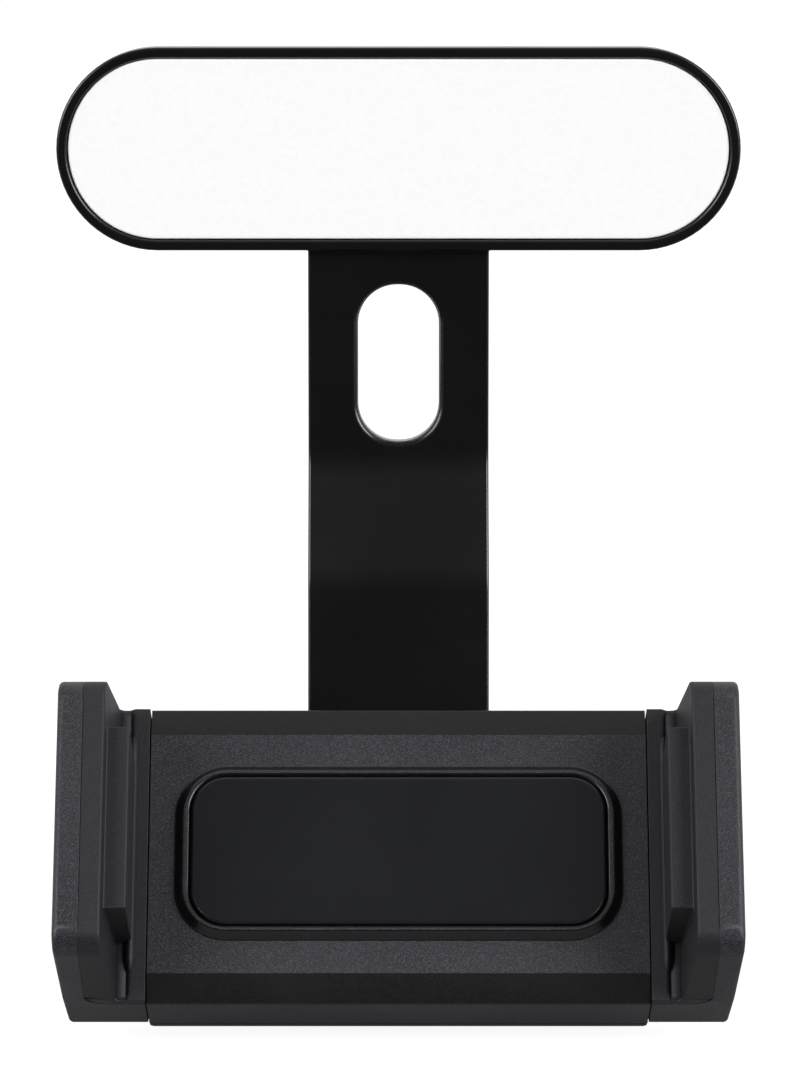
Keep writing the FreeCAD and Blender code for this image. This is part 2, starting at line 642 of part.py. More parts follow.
def slide_bar():
    """Upper slide bar of the left jaw: rack teeth below, a spring lug in front."""
    tan = math.tan(math.radians(PRESSURE))
    half = TOOTH_PITCH / 4 - BACKLASH / 4
    tip = PITCH_RADIUS - ADDENDUM
    first = -2
    last = int((BAR_REACH - half - 0.6) / TOOTH_PITCH)
    points = [(-JAW_IN - 1.0, BAR_OUTER, 0.0), (-JAW_IN - 1.0, BAR_INNER, 0.0)]
    for i in range(first, last + 1):
        u = i * TOOTH_PITCH
        foot = half + (BAR_INNER - PITCH_RADIUS) * tan
        head = half - ADDENDUM * tan
        points += [(u - foot, BAR_INNER, 0.0), (u - head, tip, 0.0), (u + head, tip, 0.0), (u + foot, BAR_INNER, 0.0)]
    points += [(BAR_REACH, BAR_INNER, 0.0), (BAR_REACH, BAR_OUTER, 0.0)]
    bar = along_w(points, BAR_BACK, BAR_FRONT)
    lug = rod(POST_RADIUS, -LUG_BACK, SPRING_LINE, BAR_FRONT - 0.5, -SPRING_LEVEL + SPRING_WIRE * 1.6)
    return fused([bar, lug])


def jaw_side():
    """Outline of a jaw seen from its side, as (v, w) corners from the lip back."""
    return [(LIP_HALF, LIP_HEIGHT, LIP_ROUND), (JAW_FOOT_HALF, 0.0, 0.0), (JAW_FOOT_HALF, -FRONT_DEPTH, 0.0),
            (JAW_FOOT_HALF - JAW_BACK_RUN, -JAW_BACK, 0.0)]


def jaw_mask(inset=0.0):
    """Solid that bounds both layers of the left jaw."""
    corners = [(p[0] - inset, p[1], p[2]) for p in jaw_side()]
    return along_u(mirrored_half(corners), -JAW_OUT - 1, -JAW_IN + 1)


def jaw_shell():
    """Hard outer layer of the left jaw with its slide bar, hollow and ribbed at the back."""
    back = -JAW_BACK
    corners = [(-JAW_OUT, LIP_HEIGHT, LIP_EDGE), (-JAW_OUT + JAW_DRAFT, -FRONT_DEPTH, 0.8),
               (-JAW_OUT + JAW_DRAFT + JAW_BACK_RUN, back, 0.0), (-JAW_IN, back, 0.0),
               (-JAW_IN, -SEAM_DEPTH, 0.0), (-SEAM_OUT, -SEAM_DEPTH, SEAM_CORNER), (-SEAM_OUT, LIP_HEIGHT, 0.0)]
    shell = along_v(corners, -JAW_FOOT_HALF - 1, JAW_FOOT_HALF + 1).common(jaw_mask())
    left = -JAW_OUT + JAW_DRAFT + JAW_BACK_RUN + 0.9
    right = -JAW_IN - JAW_WALL
    floor = -SEAM_DEPTH - JAW_WALL
    tall = JAW_FOOT_HALF - JAW_BACK_RUN - JAW_WALL * 0.7
    pocket = block(left, right, -tall, tall, back - 1, floor)
    ribs = []
    for i in range(-1, 2):
        v = i * tall * 0.5
        ribs.append(block(left - 0.3, right + 0.3, v - 0.6, v + 0.6, back + 0.8, floor + 0.3))
    shell = shell.cut(pocket)
    return fused([shell, slide_bar()] + ribs)


def jaw_liner():
    """Soft inner layer of the left jaw with a groove at its foot and a raised grip panel."""
    top = LIP_HEIGHT - LINER_DROP
    seam = -SEAM_OUT
    corners = [(seam, top, 0.0), (-LINER_IN, top, 0.3), (-LINER_FOOT, -0.5, 0.7), (-LINER_FOOT + 1.0, -0.5, 0.3),
               (-LINER_FOOT + 1.5, 0.0, 0.5), (-JAW_IN, 0.0, 0.0), (-JAW_IN, -SEAM_DEPTH, 0.0),
               (seam, -SEAM_DEPTH, LINER_CORNER)]
    liner = along_v(corners, -JAW_FOOT_HALF - 1, JAW_FOOT_HALF + 1).common(jaw_mask())
    level = LIP_HEIGHT - CUSHION_DROP
    panel = [(-LINER_IN - 0.8, level, 0.0), (-CUSHION_IN, level, CUSHION_ROUND * 0.3),
             (-CUSHION_IN, -0.55, 0.0), (-LINER_IN - 0.8, -0.55, 0.0)]
    cushion = along_v(panel, -CUSHION_HALF, CUSHION_HALF)
    return fused([liner, cushion])


def half_turn(shape):
    """Left jaw piece turned about the clamp's axis to the right side."""
    shape = shape.copy()
    shape.rotate(V(0, 0, 0), V(0, 1, 0), 180)
    return shape


def spring():
    """Spring of the left jaw: a coil of square wire with an eye at each end."""
    eye = POST_RADIUS + 0.2
    wide = SPRING_WIRE / 2
    near = -LUG_BACK + eye + SPRING_WIRE
    length = POST_REACH - eye - SPRING_WIRE - near
    steps = SPRING_TURNS * SPRING_SIDES
    corners = ((-wide, -wide), (wide, -wide), (wide, wide), (-wide, wide), (-wide, -wide))
    sections = []
    for i in range(steps + 1):
        turn = 2 * math.pi * i / SPRING_SIDES
        u = near + length * i / steps
        points = []
        for a, b in corners:
            reach = SPRING_RADIUS + a
            points.append(at(u + b, SPRING_LINE + reach * math.cos(turn), -SPRING_LEVEL + reach * math.sin(turn)))
        sections.append(Part.makePolygon(points))
    pieces = [Part.makeLoft(sections, True, True)]
    for u, leg in ((-LUG_BACK, near), (POST_REACH, near + length)):
        loop = rod(eye + SPRING_WIRE, u, SPRING_LINE, -SPRING_LEVEL - wide, -SPRING_LEVEL + wide)
        loop = loop.cut(rod(eye, u, SPRING_LINE, -SPRING_LEVEL - 1, -SPRING_LEVEL + 1))
        arm = block(leg - wide * 1.6, leg + wide * 1.6, SPRING_LINE - wide, SPRING_LINE + SPRING_RADIUS,
                    -SPRING_LEVEL - wide * 0.9, -SPRING_LEVEL + wide * 0.9)
        pieces.append(loop.fuse(arm))
    return fused(pieces)


def write(name, shape):
    """Write one node's solid."""
    shape.exportStep("parts/" + name + ".step")


def main():
    """Build every piece and write its file."""
    os.makedirs("parts", exist_ok=True)
    write("sign_bracket", sign_bracket())
    write("sign_insert", sign_insert())
    write("clip_core", clip_core())
    write("clip_boot", clip_boot())
    write("clip_screw", clip_screw())
    write("ball_stud", ball_stud())
    write("stud_screw", stud_screw())
    write("collar_nut", collar_nut())
    write("front_housing", front_housing())
    write("front_pad", front_pad())
    write("rear_housing", rear_housing())
    write("housing_screws", housing_screws())
    write("pinion_pin", pinion_pin())
    write("pinion", pinion())
    shell = jaw_shell()
    liner = jaw_liner()
    coil = spring()
    write("left_jaw", clamp_placed(shell))
    write("right_jaw", clamp_placed(half_turn(shell)))
    write("left_liner", clamp_placed(liner))
    write("right_liner", clamp_placed(half_turn(liner)))
    write("left_spring", clamp_placed(coil))
    write("right_spring", clamp_placed(half_turn(coil)))


main()
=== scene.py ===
import json
import logging
import math
from dataclasses import dataclass
from enum import Enum
from typing import Any

import bmesh
import bpy
import numpy as np
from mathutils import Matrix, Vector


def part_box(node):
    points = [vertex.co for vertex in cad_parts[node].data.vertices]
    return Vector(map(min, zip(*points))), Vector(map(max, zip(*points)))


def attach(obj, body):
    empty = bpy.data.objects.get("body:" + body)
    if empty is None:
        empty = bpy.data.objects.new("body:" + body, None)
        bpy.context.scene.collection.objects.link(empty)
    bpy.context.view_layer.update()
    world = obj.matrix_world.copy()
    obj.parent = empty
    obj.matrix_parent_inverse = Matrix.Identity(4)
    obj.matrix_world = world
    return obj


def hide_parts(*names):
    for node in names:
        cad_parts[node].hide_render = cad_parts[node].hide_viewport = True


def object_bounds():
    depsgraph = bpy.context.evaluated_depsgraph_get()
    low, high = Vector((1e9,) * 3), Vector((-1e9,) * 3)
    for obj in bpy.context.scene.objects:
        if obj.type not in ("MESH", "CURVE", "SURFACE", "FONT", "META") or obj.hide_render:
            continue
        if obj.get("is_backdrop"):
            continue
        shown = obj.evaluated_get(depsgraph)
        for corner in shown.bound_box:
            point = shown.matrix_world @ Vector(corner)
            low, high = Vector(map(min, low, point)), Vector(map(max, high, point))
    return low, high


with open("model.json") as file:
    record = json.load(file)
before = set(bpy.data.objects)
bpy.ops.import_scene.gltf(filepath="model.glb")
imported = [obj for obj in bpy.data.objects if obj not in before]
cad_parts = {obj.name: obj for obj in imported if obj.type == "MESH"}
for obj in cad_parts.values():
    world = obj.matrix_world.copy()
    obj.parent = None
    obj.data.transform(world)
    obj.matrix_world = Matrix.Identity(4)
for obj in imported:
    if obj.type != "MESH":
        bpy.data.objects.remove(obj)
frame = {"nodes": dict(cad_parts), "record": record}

logging.basicConfig(level=logging.INFO, format="%(message)s")
log = logging.getLogger("holder")

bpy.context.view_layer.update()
# The pieces' sizes are in mm, and the studio's are in metres
MM = 0.001
WHITE = "#ffffff"


class Side(Enum):
    """Side of the clamp that a jaw closes from."""

    LEFT = "left"
    RIGHT = "right"

    def sign(self) -> int:
        """Give the side's direction along X."""
        return -1 if self is Side.LEFT else 1


class Grain(Enum):
    """Kind of surface pattern of a finish."""

    SMOOTH = "smooth"
    SPARK = "spark"
    BRUSHED = "brushed"


def linear(colour: str) -> tuple[float, float, float, float]:
    """Turn an sRGB hex colour into linear light.

    Args:
        colour: six hex digits after a hash sign.
    Returns:
        Red, green, blue and a full alpha.
    """
    parts = [int(colour[i:i + 2], 16) / 255 for i in (1, 3, 5)]
    red, green, blue = (p / 12.92 if p <= 0.04045 else ((p + 0.055) / 1.055) ** 2.4 for p in parts)
    return red, green, blue, 1.0


def add(tree: bpy.types.NodeTree, kind: str, sockets: dict[str | int, Any] | None = None,
        **settings: Any) -> bpy.types.Node:
    """Add a shader node, set it up and fill its sockets.

    Args:
        tree: node tree that gets the node.
        kind: type name of the node.
        sockets: input names or numbers; a socket is linked, any other value is set.
        settings: properties of the node itself.
    Returns:
        The new node.
    """
    node = tree.nodes.new(kind)
    for key, value in settings.items():
        setattr(node, key, value)
    for key, value in (sockets or {}).items():
        if isinstance(value, bpy.types.NodeSocket):
            tree.links.new(value, node.inputs[key])
        else:
            node.inputs[key].default_value = value
    return node


@dataclass(frozen=True)
class Finish:
    """A surface: its two tones, gloss and the pattern that breaks it up.

    The pitch is the size of the fine pattern and the height is how far it stands up. The drift is the size of
    the broad patches in which the gloss wanders between its two values. A brushed pattern is squeezed into
    lines.
    """

    name: str
    slot: str
    tone: str
    fleck_and_glint: str
    gloss: tuple[float, float]
    ior: float | None = None
    metal: float = 0.0
    grain: Grain = Grain.SMOOTH
    pitch_mm: float = 0.4
    height_mm: float = 0.003
    drift_mm: float = 14.0
    squeeze: tuple[float, float, float] = (1.0, 6.0, 1.0)

    def shares(self) -> tuple[float, float]:
        """Give the noise values between which the tone turns into the second tone."""
        return (0.46, 0.70) if self.grain is Grain.SPARK else (0.25, 0.75)

    def pattern(self, tree: bpy.types.NodeTree) -> tuple[bpy.types.NodeSocket, bpy.types.NodeSocket]:
        """Lay out the noise of the surface on the object's own coordinates.

        Args:
            tree: node tree of the material.
        Returns:
            The fine noise of the grain and the broad noise of the gloss.
        """
        place = add(tree, "ShaderNodeTexCoord").outputs["Object"]
        if self.grain is Grain.BRUSHED:
            lines = add(tree, "ShaderNodeMapping", {"Vector": place, "Scale": self.squeeze})
            place = lines.outputs["Vector"]
        fine = add(tree, "ShaderNodeTexNoise", {"Vector": place, "Scale": 1 / (self.pitch_mm * MM),
                                                "Detail": 3.0, "Roughness": 0.6})
        broad = add(tree, "ShaderNodeTexNoise", {"Vector": place, "Scale": 1 / (self.drift_mm * MM),
                                                 "Detail": 2.0})
        return fine.outputs["Fac"], broad.outputs["Fac"]

    def material(self) -> bpy.types.Material:
        """Build the material once and hand the same one out again.

        Returns:
            A node material with two tones, varied gloss and a fine relief.
        """
        known = bpy.data.materials.get(self.name)
        if known:
            return known
        made = bpy.data.materials.new(self.name)
        made.use_nodes = True
        tree = made.node_tree
        tree.nodes.clear()
        fine, broad = self.pattern(tree)
        start, stop = self.shares()
        share = add(tree, "ShaderNodeMapRange", {"Value": fine, "From Min": start, "From Max": stop})
        # The second tone is the material's fleck; on the grained ABS its pale specks are painted glints.
        tone = add(tree, "ShaderNodeMixRGB", {"Fac": share.outputs["Result"], "Color1": linear(self.tone),
                                              "Color2": linear(self.fleck_and_glint)})
        low, high = self.gloss
        rough = add(tree, "ShaderNodeMapRange", {"Value": broad, "From Min": 0.3, "From Max": 0.7,
                                                 "To Min": low, "To Max": high})
        relief = add(tree, "ShaderNodeBump", {"Strength": 0.6, "Distance": self.height_mm * MM,
                                              "Height": fine})
        shader = add(tree, "ShaderNodeBsdfPrincipled", {"Base Color": tone.outputs["Color"],
                                                        "Metallic": self.metal,
                                                        "Roughness": rough.outputs["Result"],
                                                        "Normal": relief.outputs["Normal"]})
        if self.ior:
            shader.inputs["IOR"].default_value = self.ior
        add(tree, "ShaderNodeOutputMaterial", {"Surface": shader.outputs["BSDF"]})
        return made


# Black ABS from a polished mould: soft, clear reflections with a faint ripple
SATIN_ABS = Finish("satin_moulded_abs", "bracket_plastic", "#070708", "#0b0b0d", (0.21, 0.27), 1.54)
# Black ABS from a spark-eroded mould: dull, with fine pale specks as painted glints, drawn coarser than they
# are to show
SPARK_ABS = Finish("spark_grained_abs", "grained_plastic", "#07070a", "#434351", (0.44, 0.56), 1.54,
                   grain=Grain.SPARK, pitch_mm=0.13, height_mm=0.05)
# The same ABS on the long slopes, where the draw of the mould smooths the grain: glossier, and darker as
# painted shade
SHADED_SLOPE_ABS = Finish("slope_painted_shade_abs", "grained_plastic", "#040405", "#1a1a1d", (0.24, 0.3), 1.54,
                   grain=Grain.SPARK, pitch_mm=0.13, height_mm=0.015)
# Moulded TPE of the jaw liners: matt, with an even soft sheen, its grain drawn coarser than it is to show
SOFT_TPE = Finish("moulded_tpe", "liner_rubber", "#0c0c11", "#292932", (0.56, 0.66), 1.50,
                  grain=Grain.SPARK, pitch_mm=0.13, height_mm=0.015)
# Cast polyurethane of the pad: smooth bluish black with a broad soft reflection
CAST_PU = Finish("cast_polyurethane", "pad_rubber", "#0d0e11", "#121317", (0.23, 0.28), 1.50, pitch_mm=0.25)
# Calendered PVC sheet: bare white with a low even sheen
WHITE_PVC = Finish("calendered_pvc", "white_panel", "#f7f7f7", "#fcfcfc", (0.28, 0.30), 1.53,
                   pitch_mm=0.6, height_mm=0.001)
# Moulded silicone of the clip's boot: matt and slightly dusty
SILICONE = Finish("moulded_silicone", "boot_rubber", "#161617", "#222224", (0.62, 0.74), 1.43,
                  grain=Grain.SPARK, pitch_mm=0.3, height_mm=0.012)
# Glass-filled nylon of the ball, the collar and the clip's core: dark with a slightly mottled gloss
FILLED_NYLON = Finish("glass_filled_nylon", "hard_plastic", "#121214", "#1b1b1e", (0.36, 0.48), 1.53,
                      height_mm=0.006)
# Zinc-plated steel of the screws and the pin: pale and bright with fine drawn lines
ZINC_STEEL = Finish("zinc_plated_steel", "screw_steel", "#b9bcc1", "#cfd2d6", (0.26, 0.36), metal=1.0,
                    grain=Grain.BRUSHED, pitch_mm=0.2, drift_mm=3.0)
# Drawn spring wire: grey steel with lines along it
SPRING_WIRE = Finish("drawn_spring_steel", "spring_steel", "#85888d", "#9da0a5", (0.3, 0.4), metal=1.0,
                     grain=Grain.BRUSHED, pitch_mm=0.15, height_mm=0.002, drift_mm=3.0)
# Natural acetal of the gear: milky white and waxy
ACETAL = Finish("moulded_acetal", "gear_plastic", "#e4e1d6", "#efece2", (0.32, 0.4), 1.48, pitch_mm=0.5)


def home(node: str) -> str:
    """Name the body that a CAD node belongs to."""
    return next(body for body, nodes in frame["record"]["behaviour"]["bodies"].items() if node in nodes)


def dress(piece: bpy.types.Object, node: str, finish: Finish) -> None:
    """Give a new piece its finish and let it ride with a CAD node.

    Args:
        piece: object that is in its place.
        node: CAD node that it goes with.
        finish: its surface.
    """
    piece.data.materials.clear()
    piece.data.materials.append(finish.material())
    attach(piece, home(node))
    log.info("%s: %d faces, %s", piece.name, len(piece.data.polygons), finish.slot)


def settle(piece: bpy.types.Object, node: str, finish: Finish) -> None:
    """Dress a new piece and let it stand for a CAD node.

    Args:
        piece: object that is in its place.
        node: CAD node that it stands for.
        finish: its surface.
    """
    dress(piece, node, finish)
    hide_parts(node)


def paint(node: str, finish: Finish) -> None:
    """Give its finish to a CAD node that is shown as it is.

    Args:
        node: name of the CAD node.
        finish: its surface.
    """
    mesh = frame["nodes"][node].data
    mesh.materials.clear()
    mesh.materials.append(finish.material())
    log.info("%s: CAD node, %s", node, finish.slot)


def mesh_piece(name: str, points: np.ndarray, faces: np.ndarray, merge_mm: float = 0.002,
               sliver_mm: float = 0.0005) -> bpy.types.Object:
    """Make a smooth mesh object and close its seams.

    Args:
        name: name of the piece.
        points: N x 3 places in mm.
        faces: M x 4 indices of its quads.
        merge_mm: points closer than this become one.
        sliver_mm: edges shorter than this are taken out.
    Returns:
        The object, linked to the scene, faces outward.
    """
    mesh = bpy.data.meshes.new(name)
    mesh.from_pydata((points * MM).tolist(), [], faces.tolist())
    work = bmesh.new()
    work.from_mesh(mesh)
    bmesh.ops.remove_doubles(work, verts=work.verts, dist=merge_mm * MM)
    bmesh.ops.dissolve_degenerate(work, dist=sliver_mm * MM, edges=work.edges)
    bmesh.ops.recalc_face_normals(work, faces=work.faces)
    work.to_mesh(mesh)
    work.free()
    mesh.polygons.foreach_set("use_smooth", np.ones(len(mesh.polygons), bool))
    piece = bpy.data.objects.new(name, mesh)
    bpy.context.scene.collection.objects.link(piece)
    return piece


def grid_faces(rows: int, columns: int) -> np.ndarray:
    """Index the quads of a grid whose columns close on themselves.

    Args:
        rows: number of rows.
        columns: number of columns, the last beside the first.
    Returns:
        An M x 4 array of indices.
    """
    row, column = np.meshgrid(np.arange(rows - 1), np.arange(columns), indexing="ij")
    after = (column + 1) % columns
    quads = np.stack([row * columns + column, row * columns + after,
                      (row + 1) * columns + after, (row + 1) * columns + column], axis=-1)
    return quads.reshape(-1, 4)


@dataclass(frozen=True)
class Plane:
    """A face of the object: its origin in mm and how far it leans back from upright, in degrees."""

    origin: tuple[float, float, float]
    lean: float

    def outward(self) -> np.ndarray:
        """Give the direction out of the face."""
        a = math.radians(self.lean)
        return np.array([0.0, -math.cos(a), math.sin(a)])

    def points(self, right: np.ndarray, up: np.ndarray, out: np.ndarray) -> np.ndarray:
        """Bring face coordinates into the shared frame.

        Args:
            right: distances along +X in mm.
            up: distances up the face in mm.
            out: distances out of the face in mm.
        Returns:
            Points in mm, in a last axis of three.
        """
        a = math.radians(self.lean)
        y = up * math.sin(a) - out * math.cos(a)
        z = up * math.cos(a) + out * math.sin(a)
        return np.stack([right, y, z], axis=-1) + np.array(self.origin)


# Middle of the clamp's front face, of the strip where the ball stud sits, and of the tray's rim
CLAMP_FACE = Plane((0.0, -42.716, -71.129), 30.0)
STUD_SEAT = Plane((0.0, -15.816, -81.4), 6.0)
SIGN_FACE = Plane((0.0, -9.2, 0.0), 0.0)


@dataclass
class SoftEdged:
    """A moulded piece: the CAD node's own form with its sharp edges rounded.

    An edge that turns by less than the least turn stays as it is, unless it is a fold, a gentle turn between
    two wide faces. Edges whose middle lies in one of the crisp ranges, in mm from the middle of the object,
    keep a share of the rounding, because they stand at a seam. Faces whose direction lies between the slope's
    cosines from the clamp's front may take a second finish. A jaw's face beside the body may be pressed
    towards it, to close the seam up.
    """

    node: str
    finish: Finish
    edge_mm: float = 0.25
    steps: int = 3
    crisp: tuple[tuple[float, float], ...] = ()
    crisp_share: float = 0.12
    fold_mm: float = 0.0
    press_mm: float = 0.0
    press_face_mm: float = 26.3
    press_reach_mm: float = 0.01
    # The slope's finish is a darker copy of the same material: painted shade.
    slope: Finish | None = None
    slope_cosines: tuple[float, float] = (0.4, 0.97)
    least_turn: float = 21.0
    flat_turn: float = 9.0
    level_turn: float = 0.8
    flat_area_mm2: float = 60.0
    merge_mm: float = 0.003
    sliver_mm: float = 0.004

    def is_fold(self, edge: bmesh.types.BMEdge) -> bool:
        """Tell whether an edge is a gentle turn between two wide faces."""
        least = min((face.calc_area() for face in edge.link_faces), default=0.0)
        turn = math.degrees(edge.calc_face_angle(0.0))
        return least > self.flat_area_mm2 * MM * MM and self.flat_turn < turn < self.least_turn

    def rounding_mm(self, edge: bmesh.types.BMEdge) -> float:
        """Work out how far an edge is rounded.

        Args:
            edge: edge of the joined mesh.
        Returns:
            The fold's own rounding, nothing on any other gentle turn, a share at a seam, or else all of it.
        """
        if math.degrees(edge.calc_face_angle(0.0)) < self.least_turn:
            return self.fold_mm if self.is_fold(edge) else 0.0
        middle = abs(edge.verts[0].co.x + edge.verts[1].co.x) / 2 / MM
        seam = any(low < middle < high for low, high in self.crisp)
        return self.edge_mm * (self.crisp_share if seam else 1.0)

    def joined(self) -> bpy.types.Mesh:
        """Copy the node's triangles, join them and mark what is rounded and what stays a flat crease.

        Level triangles become one face. A face with an inward corner is split again, so that the rounding
        can't close its holes.

        Returns:
            A closed mesh with a rounding weight on its edges.
        """
        mesh = frame["nodes"][self.node].data.copy()
        mesh.name = self.node + "_soft"
        work = bmesh.new()
        work.from_mesh(mesh)
        bmesh.ops.remove_doubles(work, verts=work.verts, dist=self.merge_mm * MM)
        bmesh.ops.dissolve_degenerate(work, dist=self.sliver_mm * MM, edges=work.edges)
        bmesh.ops.dissolve_limit(work, angle_limit=math.radians(self.level_turn), verts=work.verts,
                                 edges=work.edges)
        holed = [face for face in work.faces if not all(loop.is_convex for loop in face.loops)]
        bmesh.ops.triangulate(work, faces=holed, ngon_method="BEAUTY")
        weight = work.edges.layers.float.new("bevel_weight_edge")
        for edge in work.edges:
            edge.smooth = self.fold_mm > 0 or not self.is_fold(edge)
            edge[weight] = self.rounding_mm(edge) / max(self.edge_mm, self.fold_mm)
        for face in work.faces:
            face.smooth = True
        work.to_mesh(mesh)
        work.free()
        return mesh

    def press(self, mesh: bpy.types.Mesh) -> None:
        """Move the face beside the body towards the middle of the object.

        Args:
            mesh: joined mesh of the node.
        """
        places = np.empty(len(mesh.vertices) * 3, np.float32)
        mesh.vertices.foreach_get("co", places)
        across = places[0::3].astype(float)
        beside = np.abs(np.abs(across) - self.press_face_mm * MM) < self.press_reach_mm * MM
        places[0::3] = across - np.where(beside, np.copysign(self.press_mm * MM, across), 0.0)
        mesh.vertices.foreach_set("co", places)
        mesh.update()

    def build(self) -> bpy.types.Object:
        """Round the marked edges of the joined copy and dress it.

        Returns:
            The piece, in place of the node.
        """
        mesh = self.joined()
        self.press(mesh)
        piece = bpy.data.objects.new(self.node + "_soft", mesh)
        bpy.context.scene.collection.objects.link(piece)
        rounding = piece.modifiers.new("edges", "BEVEL")
        rounding.width = max(self.edge_mm, self.fold_mm) * MM
        rounding.segments = self.steps
        rounding.limit_method = "WEIGHT"
        rounding.use_clamp_overlap = False
        rounding.loop_slide = False
        shading = piece.modifiers.new("shading", "WEIGHTED_NORMAL")
        shading.keep_sharp = True
        self.bake(piece)
        settle(piece, self.node, self.finish)
        if self.slope:
            self.dress_slopes(piece.data, self.slope)
        return piece

    def bake(self, piece: bpy.types.Object) -> None:
        """Apply the rounding and keep every point inside the node's own box.

        Args:
            piece: object with the rounding as a live modifier.
        """
        rounded = bpy.data.meshes.new_from_object(
            piece.evaluated_get(bpy.context.evaluated_depsgraph_get()))
        low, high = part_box(self.node)
        places = np.empty(len(rounded.vertices) * 3, np.float32)
        rounded.vertices.foreach_get("co", places)
        spare = np.array([self.press_mm * MM, 0.0, 0.0])
        inside = np.clip(places.reshape(-1, 3), np.array(low) - spare, np.array(high) + spare)
        rounded.vertices.foreach_set("co", inside.astype(np.float32).ravel())
        piece.modifiers.clear()
        piece.data = rounded

    def dress_slopes(self, mesh: bpy.types.Mesh, finish: Finish) -> None:
        """Give the faces that slope away from the clamp's front a second finish, darker as painted shade.

        Args:
            mesh: rounded mesh with its first finish.
            finish: surface of the slopes, darker as painted shade.
        """
        mesh.materials.append(finish.material())
        facing = np.empty(len(mesh.polygons) * 3, np.float32)
        mesh.polygons.foreach_get("normal", facing)
        cosine = facing.reshape(-1, 3) @ CLAMP_FACE.outward()
        low, high = self.slope_cosines
        mesh.polygons.foreach_set("material_index", ((cosine > low) & (cosine < high)).astype(np.int32))


@dataclass
class Tablet:
    """A flat rounded plate whose outline is carried through rows of inset and height.

    Its back edge is a chamfer. Its front edge is a quarter round with a level band inside it. The chamfer and
    the band are shares of the edge. The rings are the shares of the outline in which each face closes to its
    middle.
    """

    name: str
    plane: Plane
    width: float
    height: float
    corner: float
    back: float
    front: float
    edge: float
    arc_steps: int = 16
    bend_steps: int = 7
    chamfer_share: float = 0.4
    band_share: float = 1.6
    rings: tuple[float, ...] = (0.8, 0.5, 0.2, 0.0)

    def outline(self) -> tuple[np.ndarray, np.ndarray]:
        """Work out the corner centres and directions round the outline.

        Returns:
            Centres and unit directions, one row for each point.
        """
        quarter = np.linspace(0, math.pi / 2, self.arc_steps)
        angle = np.concatenate([quarter + i * math.pi / 2 for i in range(4)])
        across = np.repeat([1.0, -1.0, -1.0, 1.0], self.arc_steps) * (self.width / 2 - self.corner)
        along = np.repeat([1.0, 1.0, -1.0, -1.0], self.arc_steps) * (self.height / 2 - self.corner)
        return np.stack([across, along], -1), np.stack([np.cos(angle), np.sin(angle)], -1)

    def build(self) -> bpy.types.Object:
        """Carry the outline from the back's centre round the edge to the front's centre.

        A point is its ring's share of the sum of its corner centre and its direction, where the direction's
        length is the corner's radius less the row's inset.

        Returns:
            The closed plate.
        """
        centres, ways = self.outline()
        chamfer = self.edge * self.chamfer_share
        band = self.edge * self.band_share
        bend = np.linspace(0, math.pi / 2, self.bend_steps)
        inset = np.concatenate([[chamfer, 0.0], self.edge * (1 - np.cos(bend)), [band]])
        level = np.concatenate([[self.back, self.back + chamfer],
                                self.front - self.edge * (1 - np.sin(bend)), [self.front]])
        share = np.concatenate([self.rings[::-1], np.ones_like(inset), self.rings])
        inset = np.pad(inset, len(self.rings), mode="edge")
        level = np.pad(level, len(self.rings), mode="edge")
        radius = self.corner - inset
        flat = share[:, None, None] * (centres[None] + radius[:, None, None] * ways[None])
        out = np.broadcast_to(level[:, None], flat.shape[:2])
        points = self.plane.points(flat[..., 0], flat[..., 1], out)
        return mesh_piece(self.name, points.reshape(-1, 3), grid_faces(len(level), len(centres)))


